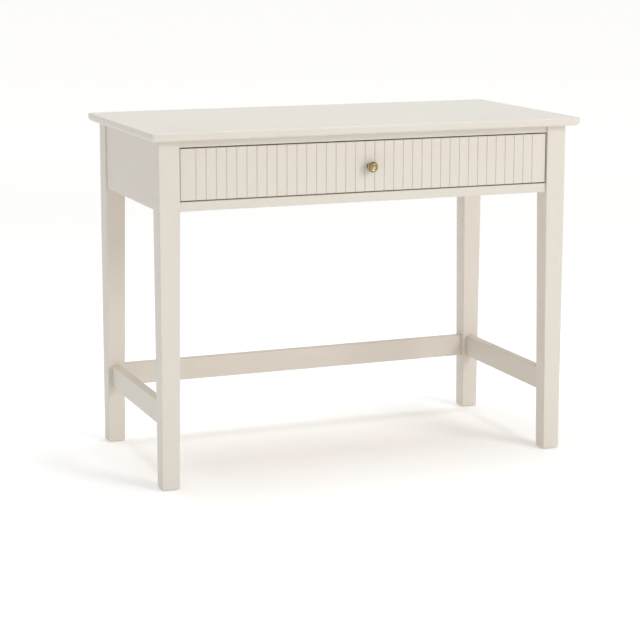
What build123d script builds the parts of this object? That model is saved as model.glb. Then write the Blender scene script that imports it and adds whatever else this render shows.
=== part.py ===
from build123d import *
from math import asin, degrees, floor
import os

# A writing desk with one full-width drawer: a painted wood frame on four tapered legs, a drawer
# with a grooved front and a brass knob, and steel ball slides.
# Millimetres. +X is the sitter's right, +Y the back, +Z up. The origin is on the floor, under the
# centre of the desktop.

os.makedirs("parts", exist_ok=True)

# ---- Overall sizes ------------------------------------------------------------------------------
desk_width = 1000.0
desk_depth = 500.0
desk_height = 765.0

# Desktop
top_thickness = 18.0
top_corner_radius = 12.0
top_upper_round = 3.0
top_lower_round = 9.0
side_overhang = 25.0
front_overhang = 28.0
rear_overhang = 12.0

# Legs: square at the top, tapered on their two inner faces from just under the aprons
leg_size = 45.0
leg_foot_size = 38.0
taper_below_apron = 20.0
leg_edge_round = 1.5
foot_chamfer = 1.0

# Aprons, front rails and stretchers
apron_height = 150.0
apron_thickness = 20.0
apron_inset = 3.5
front_inset = 5.0
top_rail_height = 16.0
bottom_rail_height = 20.0
rail_depth = 40.0
rail_edge_round = 1.0
stretcher_height = 50.0
stretcher_thickness = 20.0
stretcher_lift = 132.0
stretcher_inset = 10.0

# Drawer
drawer_gap = 2.5
front_thickness = 18.0
front_edge_chamfer = 1.0
groove_pitch = 22.5
groove_width = 3.0
groove_depth = 1.6
end_strips = 1.5
box_board = 12.0
box_lift = 8.0
box_drop = 16.0
box_rear_gap = 33.0
bottom_thickness = 5.0
bottom_groove_depth = 6.0
bottom_groove_lift = 8.0
brace_width = 60.0
knob_radius = 12.0
knob_reach = 25.0

# Ball slides
slide_thickness = 12.7
slide_height = 45.0
slide_step = 50.0
slide_rear_room = 30.0
slide_screw_from_leg = 4.5
slide_setback = 2.0
sheet = 1.2
ball_radius = 1.8
ball_pitch = 13.0
balls_in_row = 9
cage_thickness = 0.8
cage_width = 4.4
runner_height = 50.0

# Fasteners
dowel_radius = 4.0
dowel_reach = 15.0
drawer_dowel_radius = 3.0
drawer_dowel_reach = 10.0
bolt_thread_radius = 2.5
bolt_thread_reach = 11.0
bolt_rod_radius = 3.0
bolt_shoulder = 0.5
bolt_to_cam = 24.0
cam_radius = 7.4
screw_radius = 1.75
screw_head_radius = 3.4
screw_head_depth = 1.6
bracket_leg = 18.0
bracket_width = 16.0
bracket_sheet = 1.8
glide_thickness = 2.0
glide_radius = 11.0

# Clearances
hole_clearance = 0.05
hole_bottom_gap = 0.5
running_gap = 0.3
board_groove_gap = 0.3
cam_sink = 0.3

# ---- Places worked out from the sizes -----------------------------------------------------------
under_top = desk_height - top_thickness
outer_x = desk_width / 2 - side_overhang
front_y = -desk_depth / 2 + front_overhang
rear_y = desk_depth / 2 - rear_overhang
inner_x = outer_x - leg_size
front_leg_back = front_y + leg_size
rear_leg_front = rear_y - leg_size
apron_bottom = under_top - apron_height
apron_middle = under_top - apron_height / 2
taper_top = apron_bottom - taper_below_apron
apron_x = outer_x - apron_inset - apron_thickness / 2
apron_inner_x = outer_x - apron_inset - apron_thickness
back_rail_y = rear_y - apron_inset - apron_thickness / 2
back_rail_front = rear_y - apron_inset - apron_thickness
rail_face_y = front_y + front_inset
rail_y = rail_face_y + rail_depth / 2
top_rail_z = under_top - top_rail_height / 2
bottom_rail_z = apron_bottom + bottom_rail_height / 2
stretcher_z = stretcher_lift + stretcher_height / 2
stretcher_x = outer_x - stretcher_inset - stretcher_thickness / 2
stretcher_y = rear_y - stretcher_inset - stretcher_thickness / 2

opening_bottom = apron_bottom + bottom_rail_height
opening_top = under_top - top_rail_height
front_half = inner_x - drawer_gap
front_bottom = opening_bottom + drawer_gap
front_top = opening_top - drawer_gap
front_back_y = rail_face_y + front_thickness
box_half = inner_x - slide_thickness
box_inner = box_half - box_board
box_bottom = front_bottom + box_lift
box_top = front_top - box_drop
box_height = box_top - box_bottom
box_back_y = back_rail_front - box_rear_gap
box_length = box_back_y - front_back_y
board_z = box_bottom + bottom_groove_lift
slide_z = (box_bottom + box_top) / 2
slide_front_y = front_back_y + slide_setback
# Slides come in steps of length: the longest that leaves room behind it.
slide_room = back_rail_front - slide_rear_room - slide_front_y
slide_length = slide_step * floor(slide_room / slide_step)
slide_back_y = slide_front_y + slide_length
slide_middle_y = (slide_front_y + slide_back_y) / 2
runner_thickness = apron_inner_x - inner_x

sides = (("left", -1), ("right", 1))
ends = (("front", -1), ("rear", 1))
along_x = (1, 0, 0)
along_y = (0, 1, 0)
upward = (0, 0, 1)


# ---- Helpers ------------------------------------------------------------------------------------
def leg_width(height):
    """Width of a leg at a height above the floor: full at the aprons, narrowing to the foot."""
    share = max(0.0, taper_top - height) / (taper_top - glide_thickness)
    return leg_size - (leg_size - leg_foot_size) * share


def leg_outer_y(end):
    """The face of a leg that looks out to the front or the back."""
    return front_y if end < 0 else rear_y


def facing(point, direction):
    """A plane at a point whose normal is the way a peg, bolt or screw runs."""
    return Plane(origin=point, z_dir=direction)


def bore(places, radius, length, start=Align.CENTER):
    """Take a round hole along the normal of each place out of the part being built."""
    with Locations(*places):
        Cylinder(radius, length, align=(Align.CENTER, Align.CENTER, start), mode=Mode.SUBTRACT)


def save(piece, name):
    """Label a finished piece and write it as its own file."""
    piece.part.label = name
    export_step(piece.part, f"parts/{name}.step")


# ---- Joint places, each a plane on the meeting faces --------------------------------------------
apron_peg_margin = 35.0
apron_pegs_z = (apron_bottom + apron_peg_margin, under_top - apron_peg_margin)
rail_peg_y = rail_y - 10.0
rail_cam_y = rail_y + 8.0
stretcher_pegs_z = (stretcher_z - 8.0, stretcher_z + 8.0)
cross_pegs_z = (stretcher_z - 17.0, stretcher_z + 17.0)
stretcher_end_x = outer_x - leg_width(stretcher_z)


def apron_pegs(side, end):
    y = leg_outer_y(end) - end * leg_size
    return [facing((side * apron_x, y, z), along_y) for z in apron_pegs_z]


def back_rail_pegs(side):
    return [facing((side * inner_x, back_rail_y, z), along_x) for z in apron_pegs_z]


def front_rail_peg(side, z):
    return facing((side * inner_x, rail_peg_y, z), along_x)


def stretcher_pegs(side, end):
    y = leg_outer_y(end) - end * leg_width(stretcher_z)
    return [facing((side * stretcher_x, y, z), along_y) for z in stretcher_pegs_z]


def cross_pegs(side):
    return [facing((side * stretcher_end_x, stretcher_y, z), along_x) for z in cross_pegs_z]


def front_rail_bolt(side, z):
    return facing((side * inner_x, rail_cam_y, z), (-side, 0, 0))


def back_rail_bolt(side):
    return facing((side * inner_x, back_rail_y, apron_middle), (-side, 0, 0))


def cross_bolt(side):
    return facing((side * stretcher_end_x, stretcher_y, stretcher_z), (-side, 0, 0))


peg_hole_radius = dowel_radius + hole_clearance
peg_hole_length = 2 * (dowel_reach + hole_bottom_gap)
thread_hole_radius = bolt_thread_radius + hole_clearance
thread_hole_length = bolt_thread_reach + hole_bottom_gap
rod_hole_radius = bolt_rod_radius + 0.4
cam_hole_radius = cam_radius + 0.1
cam_height = 12.5
thin_cam_height = 9.5


def cam_housing(point, outward):
    """Take the round recess of a cam out of the part being built, from a point on its face."""
    height = thin_cam_height if abs(outward[0]) else cam_height
    bore([facing(point, outward)], cam_hole_radius, height + 2 * cam_sink, Align.MAX)


# ---- Desktop ------------------------------------------------------------------------------------
apron_length = rear_leg_front - front_leg_back
apron_y = (rear_leg_front + front_leg_back) / 2
side_bracket_y = (apron_y - apron_length / 4, apron_y + apron_length / 4)
back_bracket_x = (-desk_width / 5, desk_width / 5)
top_screw_x = (-0.7 * inner_x, 0.0, 0.7 * inner_x)
bracket_hole = bracket_leg * 0.6
top_screw_reach = 12.0


def bracket_top_screws():
    """Where the brackets' screws go up into the desktop."""
    x = apron_inner_x - bracket_hole
    y = back_rail_front - bracket_hole
    z = under_top - bracket_sheet
    spots = [(side * x, place, z) for name, side in sides for place in side_bracket_y]
    spots += [(place, y, z) for place in back_bracket_x]
    return [facing(spot, upward) for spot in spots]


def bracket_side_screws(side):
    """Where the brackets' screws go into a side apron, outwards."""
    x = side * (apron_inner_x - bracket_sheet)
    return [facing((x, y, under_top - bracket_hole), (side, 0, 0)) for y in side_bracket_y]


def bracket_back_screws():
    """Where the brackets' screws go into the back rail."""
    y = back_rail_front - bracket_sheet
    return [facing((x, y, under_top - bracket_hole), along_y) for x in back_bracket_x]


def top_rail_screws():
    """Where screws go up through the top rail into the desktop, from its lower face."""
    y = rail_y + 6.0
    return [facing((x, y, opening_top), upward) for x in top_screw_x]


bracket_screw_length = 14.0
bracket_screw_hole = bracket_screw_length + hole_bottom_gap
top_screw_length = top_rail_height + top_screw_reach
pilot_radius = screw_radius + hole_clearance


def screw_blank(length, grow=0.0):
    """A countersunk screw along +Z with its head's face at the origin, or its hole if grown."""
    outline = [
        (0, 0),
        (screw_head_radius + grow, 0),
        (screw_radius + grow, screw_head_depth),
        (screw_radius + grow, length - screw_radius + 2 * grow),
        (screw_radius * 0.3, length + 2 * grow),
        (0, length + 2 * grow),
    ]
    with BuildPart() as blank:
        with BuildSketch(Plane.XZ):
            Polygon(*outline, align=None)
        revolve(axis=Axis.Z)
        if not grow:
            with Locations((0, 0, 0)):
                Box(3.2, 0.8, 1.8, mode=Mode.SUBTRACT)
                Box(0.8, 3.2, 1.8, mode=Mode.SUBTRACT)
    return blank.part


def screw_holes(places, length):
    """Take the countersunk holes of screws out of the part being built."""
    with Locations(*places):
        add(screw_blank(length, hole_clearance), mode=Mode.SUBTRACT)


with BuildPart() as desktop:
    with BuildSketch(Plane.XY.offset(under_top)):
        RectangleRounded(desk_width, desk_depth, top_corner_radius)
    extrude(amount=top_thickness)
    fillet(desktop.faces().sort_by(Axis.Z)[-1].edges(), top_upper_round)
    fillet(desktop.faces().sort_by(Axis.Z)[0].edges(), top_lower_round)
    bore(bracket_top_screws(), pilot_radius, bracket_screw_hole, Align.MIN)
    bore(top_rail_screws(), pilot_radius, top_screw_length + hole_bottom_gap, Align.MIN)
save(desktop, "desktop")

# ---- Legs ---------------------------------------------------------------------------------------
nail_radius = 1.25
nail_length = 12.0

for side_name, side in sides:
    for end_name, end in ends:
        outer_y = leg_outer_y(end)
        centre = (side * (outer_x - leg_size / 2), outer_y - end * leg_size / 2)
        foot_middle = (side * (outer_x - leg_foot_size / 2), outer_y - end * leg_foot_size / 2)
        foot_centre = (*foot_middle, glide_thickness)
        with BuildPart() as leg:
            with BuildSketch(Plane.XY.offset(glide_thickness)):
                with Locations(foot_middle):
                    RectangleRounded(leg_foot_size, leg_foot_size, leg_edge_round)
            with BuildSketch(Plane.XY.offset(taper_top)):
                with Locations(centre):
                    RectangleRounded(leg_size, leg_size, leg_edge_round)
            loft(ruled=True)
            with BuildSketch(Plane.XY.offset(taper_top)):
                with Locations(centre):
                    RectangleRounded(leg_size, leg_size, leg_edge_round)
            extrude(amount=under_top - taper_top)
            chamfer(leg.faces().sort_by(Axis.Z)[0].edges(), foot_chamfer)

            bore(apron_pegs(side, end), peg_hole_radius, peg_hole_length)
            bore(stretcher_pegs(side, end), peg_hole_radius, peg_hole_length)
            bore([facing(foot_centre, upward)], nail_radius + hole_clearance, nail_length, Align.MIN)
            if end < 0:
                pegs = [front_rail_peg(side, z) for z in (top_rail_z, bottom_rail_z)]
                bolts = [front_rail_bolt(side, z) for z in (top_rail_z, bottom_rail_z)]
            else:
                pegs = back_rail_pegs(side) + cross_pegs(side)
                bolts = [back_rail_bolt(side), cross_bolt(side)]
            bore(pegs, peg_hole_radius, peg_hole_length)
            bore(bolts, thread_hole_radius, 2 * thread_hole_length)
        save(leg, f"leg_{end_name}_{side_name}")

# ---- Side aprons, with the runner strips that carry the slides -----------------------------------
runner_screw_y = [slide_middle_y + share * slide_length for share in (-0.34, 0.02, 0.38)]
runner_screw_length = runner_thickness + 13.0
slide_front_screw_y = front_leg_back + slide_screw_from_leg
slide_rear_screw_y = [slide_middle_y + share * slide_length for share in (-0.11, 0.29)]
slide_screw_y = [slide_front_screw_y] + slide_rear_screw_y
slide_screw_length = 14.0


def runner_screws(side):
    spots = [(side * inner_x, y, slide_z) for y in runner_screw_y]
    return [facing(spot, (side, 0, 0)) for spot in spots]


def slide_outer_screws(side):
    spots = [(side * (inner_x - sheet), y, slide_z) for y in slide_screw_y]
    return [facing(spot, (side, 0, 0)) for spot in spots]



for side_name, side in sides:
    with BuildPart() as side_rail:
        with Locations((side * apron_x, apron_y, apron_middle)):
            Box(apron_thickness, apron_length, apron_height)
        fillet(side_rail.edges().filter_by(Axis.Y).group_by(Axis.Z)[0], rail_edge_round)
        for name, end in ends:
            bore(apron_pegs(side, end), peg_hole_radius, peg_hole_length)
        screw_holes(runner_screws(side), runner_screw_length)
        screw_holes(bracket_side_screws(side), bracket_screw_length)
    save(side_rail, f"side_rail_{side_name}")

    with BuildPart() as runner_rail:
        with Locations((side * (inner_x + runner_thickness / 2), apron_y, slide_z)):
            Box(runner_thickness, apron_length, runner_height)
        screw_holes(runner_screws(side), runner_screw_length)
        screw_holes(slide_outer_screws(side), slide_screw_length)
    save(runner_rail, f"runner_rail_{side_name}")

# ---- Back rail and the two front rails -----------------------------------------------------------
with BuildPart() as back_rail:
    with Locations((0, back_rail_y, apron_middle)):
        Box(2 * inner_x, apron_thickness, apron_height)
    fillet(back_rail.edges().filter_by(Axis.X).group_by(Axis.Z)[0], rail_edge_round)
    for name, side in sides:
        bore(back_rail_pegs(side), peg_hole_radius, peg_hole_length)
        bore([back_rail_bolt(side)], rod_hole_radius, 2 * bolt_to_cam)
        cam_x = side * (inner_x - bolt_to_cam)
        cam_housing((cam_x, back_rail_front, apron_middle), (0, -1, 0))
    screw_holes(bracket_back_screws(), bracket_screw_length)
save(back_rail, "back_rail")

with BuildPart() as front_top_rail:
    with Locations((0, rail_y, top_rail_z)):
        Box(2 * inner_x, rail_depth, top_rail_height)
    front_edges = front_top_rail.edges().filter_by(Axis.X).group_by(Axis.Y)[0]
    fillet(front_edges.sort_by(Axis.Z)[0], rail_edge_round)
    for name, side in sides:
        bore([front_rail_peg(side, top_rail_z)], peg_hole_radius, peg_hole_length)
        bore([front_rail_bolt(side, top_rail_z)], rod_hole_radius, 2 * bolt_to_cam)
        cam_housing((side * (inner_x - bolt_to_cam), rail_cam_y, opening_top), (0, 0, -1))
    screw_holes(top_rail_screws(), top_screw_length)
save(front_top_rail, "front_top_rail")

with BuildPart() as front_bottom_rail:
    with Locations((0, rail_y, bottom_rail_z)):
        Box(2 * inner_x, rail_depth, bottom_rail_height)
    fillet(front_bottom_rail.edges().filter_by(Axis.X), rail_edge_round)
    for name, side in sides:
        bore([front_rail_peg(side, bottom_rail_z)], peg_hole_radius, peg_hole_length)
        bore([front_rail_bolt(side, bottom_rail_z)], rod_hole_radius, 2 * bolt_to_cam)
        cam_housing((side * (inner_x - bolt_to_cam), rail_cam_y, opening_bottom), (0, 0, 1))
save(front_bottom_rail, "front_bottom_rail")

# ---- Stretchers, cut at their ends to the legs' taper ---------------------------------------------
stretcher_low = stretcher_lift
stretcher_high = stretcher_lift + stretcher_height

for side_name, side in sides:
    with BuildPart() as side_stretcher:
        with BuildSketch(Plane.YZ.offset(side * stretcher_x)):
            Polygon(
                (front_y + leg_width(stretcher_low), stretcher_low),
                (rear_y - leg_width(stretcher_low), stretcher_low),
                (rear_y - leg_width(stretcher_high), stretcher_high),
                (front_y + leg_width(stretcher_high), stretcher_high),
                align=None,
            )
        extrude(amount=stretcher_thickness / 2, both=True)
        fillet(side_stretcher.edges().filter_by(Axis.Y), rail_edge_round)
        for name, end in ends:
            bore(stretcher_pegs(side, end), peg_hole_radius, peg_hole_length)
    save(side_stretcher, f"side_stretcher_{side_name}")

with BuildPart() as back_stretcher:
    with BuildSketch(Plane.XZ.offset(-stretcher_y)):
        Polygon(
            (-(outer_x - leg_width(stretcher_low)), stretcher_low),
            (outer_x - leg_width(stretcher_low), stretcher_low),
            (outer_x - leg_width(stretcher_high), stretcher_high),
            (-(outer_x - leg_width(stretcher_high)), stretcher_high),
            align=None,
        )
    extrude(amount=stretcher_thickness / 2, both=True)
    fillet(back_stretcher.edges().filter_by(Axis.X), rail_edge_round)
    stretcher_rear_y = stretcher_y + stretcher_thickness / 2
    for name, side in sides:
        bore(cross_pegs(side), peg_hole_radius, peg_hole_length)
        bore([cross_bolt(side)], rod_hole_radius, 2 * bolt_to_cam)
        cam_x = side * (stretcher_end_x - bolt_to_cam)
        cam_housing((cam_x, stretcher_rear_y, stretcher_z), along_y)
save(back_stretcher, "back_stretcher")


# ---- Pegs, cam fittings and screws of the frame --------------------------------------------------
def pegs_part(places, radius, reach):
    """Wooden pegs with chamfered ends, centred on the meeting faces."""
    with BuildPart() as peg:
        Cylinder(radius, 2 * reach)
        chamfer(peg.edges().filter_by(GeomType.CIRCLE), radius * 0.2)
    with BuildPart() as group:
        with Locations(*places):
            add(peg.part)
    return group


frame_pegs = []
lower_pegs = []
for name, side in sides:
    frame_pegs += back_rail_pegs(side)
    frame_pegs += [front_rail_peg(side, z) for z in (top_rail_z, bottom_rail_z)]
    lower_pegs += cross_pegs(side)
    for name, end in ends:
        frame_pegs += apron_pegs(side, end)
        lower_pegs += stretcher_pegs(side, end)
rail_dowels = pegs_part(frame_pegs, dowel_radius, dowel_reach)
save(rail_dowels, "rail_dowels")
stretcher_dowels = pegs_part(lower_pegs, dowel_radius, dowel_reach)
save(stretcher_dowels, "stretcher_dowels")


def bolts_part(places):
    """Steel bolts that screw into one piece and whose heads a cam pulls into the other."""
    outline = [
        (0, -bolt_thread_reach),
        (bolt_thread_radius, -bolt_thread_reach),
        (bolt_thread_radius, bolt_shoulder),
        (bolt_rod_radius, bolt_shoulder),
        (bolt_rod_radius, bolt_to_cam - 4.0),
        (bolt_rod_radius - 1.0, bolt_to_cam - 3.5),
        (bolt_rod_radius - 1.0, bolt_to_cam - 1.5),
        (bolt_rod_radius, bolt_to_cam - 1.0),
        (bolt_rod_radius, bolt_to_cam + 2.0),
        (0, bolt_to_cam + 3.0),
    ]
    with BuildPart() as bolt:
        with BuildSketch(Plane.XZ):
            Polygon(*outline, align=None)
        revolve(axis=Axis.Z)
    with BuildPart() as group:
        with Locations(*places):
            add(bolt.part)
    return group


def cam_blank(bolt_depth, height):
    """A cam lock under the XY plane, its face looking up and its bolt coming in along -X."""
    with BuildPart() as cam:
        with Locations((0, 0, -cam_sink)):
            Cylinder(cam_radius, height, align=(Align.CENTER, Align.CENTER, Align.MAX))
            Box(8.0, 1.6, 4.0, mode=Mode.SUBTRACT)
            Box(1.6, 8.0, 4.0, mode=Mode.SUBTRACT)
        with Locations(Plane(origin=(-4.5, 0, -bolt_depth), z_dir=along_x)):
            Cylinder(
                bolt_rod_radius + 0.35,
                cam_radius + 5.0,
                align=(Align.CENTER, Align.CENTER, Align.MIN),
                mode=Mode.SUBTRACT,
            )
    return cam.part


cam_bolts = bolts_part(
    [front_rail_bolt(side, z) for name, side in sides for z in (top_rail_z, bottom_rail_z)]
    + [back_rail_bolt(side) for name, side in sides]
    + [cross_bolt(side) for name, side in sides]
)
save(cam_bolts, "cam_bolts")

with BuildPart() as cam_locks:
    for name, side in sides:
        cam_x = side * (inner_x - bolt_to_cam)
        towards_leg = (side, 0, 0)
        with Locations(Plane((cam_x, rail_cam_y, opening_top), towards_leg, (0, 0, -1))):
            add(cam_blank(top_rail_height / 2, cam_height))
        with Locations(Plane((cam_x, rail_cam_y, opening_bottom), towards_leg, (0, 0, 1))):
            add(cam_blank(bottom_rail_height / 2, cam_height))
        with Locations(Plane((cam_x, back_rail_front, apron_middle), towards_leg, (0, -1, 0))):
            add(cam_blank(apron_thickness / 2, cam_height))
        cam_x = side * (stretcher_end_x - bolt_to_cam)
        with Locations(Plane((cam_x, stretcher_rear_y, stretcher_z), towards_leg, along_y)):
            add(cam_blank(stretcher_thickness / 2, cam_height))
save(cam_locks, "cam_locks")

cap_cover_radius = 8.5
cap_thickness = 0.8
with BuildPart() as cam_caps:
    for name, side in sides:
        spot = (side * (stretcher_end_x - bolt_to_cam), stretcher_rear_y, stretcher_z)
        with Locations(facing(spot, along_y)):
            Cylinder(cap_cover_radius, cap_thickness, align=(Align.CENTER, Align.CENTER, Align.MIN))
    fillet(cam_caps.faces().sort_by(Axis.Y)[-2:].edges(), cap_thickness * 0.5)
save(cam_caps, "cam_cover_caps")


def bracket_blank():
    """A steel angle in the corner of two faces: one at X = 0, the other at Z = 0, below it."""
    with BuildPart() as angle:
        with BuildSketch(Plane.XZ):
            Polygon(
                (0, 0),
                (0, -bracket_leg),
                (-bracket_sheet, -bracket_leg),
                (-bracket_sheet, -bracket_sheet),
                (-bracket_leg, -bracket_sheet),
                (-bracket_leg, 0),
                align=None,
            )
        extrude(amount=bracket_width / 2, both=True)
        with Locations(facing((-bracket_hole, 0, -bracket_sheet), upward)):
            add(screw_blank(bracket_screw_length, hole_clearance), mode=Mode.SUBTRACT)
        with Locations(facing((-bracket_sheet, 0, -bracket_hole), along_x)):
            add(screw_blank(bracket_screw_length, hole_clearance), mode=Mode.SUBTRACT)
    return angle.part


with BuildPart() as desktop_brackets:
    for name, side in sides:
        for y in side_bracket_y:
            with Locations(Plane((side * apron_inner_x, y, under_top), (side, 0, 0), upward)):
                add(bracket_blank())
    for x in back_bracket_x:
        with Locations(Plane((x, back_rail_front, under_top), along_y, upward)):
            add(bracket_blank())
save(desktop_brackets, "desktop_brackets")


def screws_part(places, length):
    """Countersunk steel screws at the places given."""
    with BuildPart() as group:
        with Locations(*places):
            add(screw_blank(length))
    return group


bracket_places = bracket_top_screws() + bracket_back_screws()
for name, side in sides:
    bracket_places += bracket_side_screws(side)
bracket_screws = screws_part(bracket_places, bracket_screw_length)
save(bracket_screws, "bracket_screws")
desktop_screws = screws_part(top_rail_screws(), top_screw_length)
save(desktop_screws, "desktop_screws")
runner_screw_group = screws_part(runner_screws(-1) + runner_screws(1), runner_screw_length)
save(runner_screw_group, "runner_screws")
slide_screw_group = screws_part(
    slide_outer_screws(-1) + slide_outer_screws(1), slide_screw_length
)
save(slide_screw_group, "slide_outer_screws")

with BuildPart() as floor_glides:
    for name, side in sides:
        for name, end in ends:
            x = side * (outer_x - leg_foot_size / 2)
            y = leg_outer_y(end) - end * leg_foot_size / 2
            with Locations((x, y, 0)):
                Cylinder(
                    glide_radius,
                    glide_thickness,
                    align=(Align.CENTER, Align.CENTER, Align.MIN),
                )
            with Locations((x, y, glide_thickness)):
                Cylinder(
                    nail_radius,
                    nail_length - hole_bottom_gap,
                    align=(Align.CENTER, Align.CENTER, Align.MIN),
                )
    chamfer(floor_glides.faces().filter_by(Axis.Z).group_by(Axis.Z)[0].edges(), 0.6)
save(floor_glides, "floor_glides")

# ---- Ball slides --------------------------------------------------------------------------------
# Each is three nested channels. A strip is given by its distances from the cabinet face and from
# the slide's centre line; balls run between the channels' flanges.
outer_half = slide_height / 2
ball_row_gap = 2 * (ball_radius + running_gap)
middle_half = outer_half - sheet - ball_row_gap
inner_half = middle_half - sheet - ball_row_gap
middle_web = sheet + 0.8
middle_reach = slide_thickness - sheet - 1.0
outer_reach = middle_reach - 1.0
inner_reach = middle_web + sheet + 0.8
outer_ball_depth = outer_reach - sheet - ball_radius - 0.9
inner_ball_depth = middle_reach - sheet - ball_radius - 0.4
lip = 3.0


def channel(web_start, reach, half, lip_sign):
    """Rectangles of a channel: (from, to) out of the cabinet face, and (low, high) in height."""
    first = min(web_start, web_start + sheet)
    low, high = sorted((web_start, reach))
    bands = [((first, first + sheet), (-half, half))]
    for sign in (-1, 1):
        bands.append(((low, high), tuple(sorted((sign * (half - sheet), sign * half)))))
        if lip_sign:
            lips = tuple(sorted((sign * (half - lip), sign * half)))
            bands.append(((reach - sheet, reach), lips))
    return bands


slide_kinds = {
    "outer": channel(0.0, outer_reach, outer_half, 1),
    "middle": channel(middle_web, middle_reach, middle_half, 1),
    "inner": channel(slide_thickness - sheet, inner_reach, inner_half, 0),
}
# The inner channel's web lies on the drawer's side, so its flanges run back from the far face.
slide_kinds["inner"][1:] = [
    ((inner_reach, slide_thickness), band[1]) for band in slide_kinds["inner"][1:]
]
drawer_screw_y = [slide_middle_y + share * slide_length for share in (-0.4, 0.0, 0.4)]
drawer_screw_length = 10.0


def slide_inner_screws(side):
    spots = [(side * (box_half + sheet), y, slide_z) for y in drawer_screw_y]
    return [facing(spot, (-side, 0, 0)) for spot in spots]


for side_name, side in sides:
    for kind, bands in slide_kinds.items():
        with BuildPart() as member:
            with BuildSketch(Plane.XZ.offset(-slide_back_y)):
                for (near, far), (low, high) in bands:
                    with Locations((side * (inner_x - (near + far) / 2), slide_z + (low + high) / 2)):
                        Rectangle(far - near, high - low)
            extrude(amount=slide_length)
            if kind == "outer":
                screw_holes(slide_outer_screws(side), slide_screw_length)
            if kind == "inner":
                screw_holes(slide_inner_screws(side), drawer_screw_length)
        save(member, f"slide_{kind}_{side_name}")

    rows = {
        "outer": (outer_ball_depth, outer_half - sheet - ball_row_gap / 2),
        "inner": (inner_ball_depth, middle_half - sheet - ball_row_gap / 2),
    }
    for kind, (depth, height) in rows.items():
        with BuildPart() as ball_cage:
            for sign in (-1, 1):
                spot = (side * (inner_x - depth), slide_middle_y, slide_z + sign * height)
                with Locations(spot):
                    Box(cage_width, balls_in_row * ball_pitch, cage_thickness)
                    with GridLocations(1.0, ball_pitch, 1, balls_in_row):
                        Sphere(ball_radius)
        save(ball_cage, f"ball_cage_{kind}_{side_name}")

# ---- Drawer front -------------------------------------------------------------------------------
# An odd number of equal strips lies between two wider end strips, so one strip is in the middle.
strip_count = 2 * round((2 * front_half / groove_pitch - 2 * end_strips - 1) / 2) + 1
groove_xs = [(n - strip_count / 2) * groove_pitch for n in range(strip_count + 1)]
front_outline = [(-front_half, front_back_y), (-front_half, rail_face_y)]
for groove_x in groove_xs:
    front_outline += [
        (groove_x - groove_width / 2, rail_face_y),
        (groove_x, rail_face_y + groove_depth),
        (groove_x + groove_width / 2, rail_face_y),
    ]
front_outline += [(front_half, rail_face_y), (front_half, front_back_y)]
front_z = (front_bottom + front_top) / 2

drawer_cam_z = box_top - cam_radius - 5.0
low_peg_z = board_z + bottom_thickness + 10.0
drawer_pegs_z = (low_peg_z, (low_peg_z + drawer_cam_z) / 2)
drawer_peg_hole_radius = drawer_dowel_radius + hole_clearance
drawer_peg_hole_length = 2 * (drawer_dowel_reach + hole_bottom_gap)
side_x = (box_half + box_inner) / 2
box_back_centre = box_back_y - box_board / 2
knob_screw_radius = 2.0
knob_screw_bite = 11.0


def front_pegs(side):
    return [facing((side * side_x, front_back_y, z), along_y) for z in drawer_pegs_z]


def front_bolt(side):
    return facing((side * side_x, front_back_y, drawer_cam_z), along_y)


def back_pegs(side):
    return [facing((side * box_inner, box_back_centre, z), along_x) for z in drawer_pegs_z]


with BuildPart() as drawer_front:
    with BuildSketch(Plane.XY.offset(front_bottom)):
        Polygon(*front_outline, align=None)
    extrude(amount=front_top - front_bottom)
    corners = drawer_front.edges().filter_by(Axis.Z).group_by(Axis.X)
    fillet(corners[0].sort_by(Axis.Y)[0], front_edge_chamfer)
    fillet(corners[-1].sort_by(Axis.Y)[0], front_edge_chamfer)
    with BuildSketch(Plane.YZ):
        for edge_z, inward in ((front_bottom, 1), (front_top, -1)):
            Polygon(
                (rail_face_y, edge_z),
                (rail_face_y + front_edge_chamfer, edge_z),
                (rail_face_y, edge_z + inward * front_edge_chamfer),
                align=None,
            )
    extrude(amount=front_half, both=True, mode=Mode.SUBTRACT)
    with Locations((0, front_back_y, board_z)):
        Box(
            2 * (box_inner + bottom_groove_depth),
            2 * bottom_groove_depth,
            bottom_thickness + board_groove_gap,
            align=(Align.CENTER, Align.CENTER, Align.MIN),
            mode=Mode.SUBTRACT,
        )
    for name, side in sides:
        bore(front_pegs(side), drawer_peg_hole_radius, drawer_peg_hole_length)
        bore([front_bolt(side)], thread_hole_radius, thread_hole_length, Align.MAX)
    knob_place = facing((0, front_back_y, front_z), (0, -1, 0))
    bore([knob_place], knob_screw_radius + 0.2, 2 * front_thickness)
save(drawer_front, "drawer_front")

# ---- Drawer box ---------------------------------------------------------------------------------
for side_name, side in sides:
    with BuildPart() as drawer_side:
        with Locations((side * side_x, (front_back_y + box_back_y) / 2, (box_bottom + box_top) / 2)):
            Box(box_board, box_length, box_height)
        fillet(drawer_side.edges().filter_by(Axis.Y).group_by(Axis.Z)[-1], rail_edge_round)
        with Locations((side * box_inner, (front_back_y + box_back_y) / 2, board_z)):
            Box(
                2 * bottom_groove_depth,
                box_length,
                bottom_thickness + board_groove_gap,
                align=(Align.CENTER, Align.CENTER, Align.MIN),
                mode=Mode.SUBTRACT,
            )
        bore(front_pegs(side), drawer_peg_hole_radius, drawer_peg_hole_length)
        bore(back_pegs(side), drawer_peg_hole_radius, drawer_peg_hole_length)
        bore([front_bolt(side)], rod_hole_radius, 2 * bolt_to_cam)
        cam_place = (side * box_half, front_back_y + bolt_to_cam, drawer_cam_z)
        cam_housing(cam_place, (side, 0, 0))
        screw_holes(slide_inner_screws(side), drawer_screw_length)
    save(drawer_side, f"drawer_side_{side_name}")

bottom_screw_x = (-0.6 * box_inner, -15.0, 15.0, 0.6 * box_inner)
bottom_screw_length = 18.0


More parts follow.
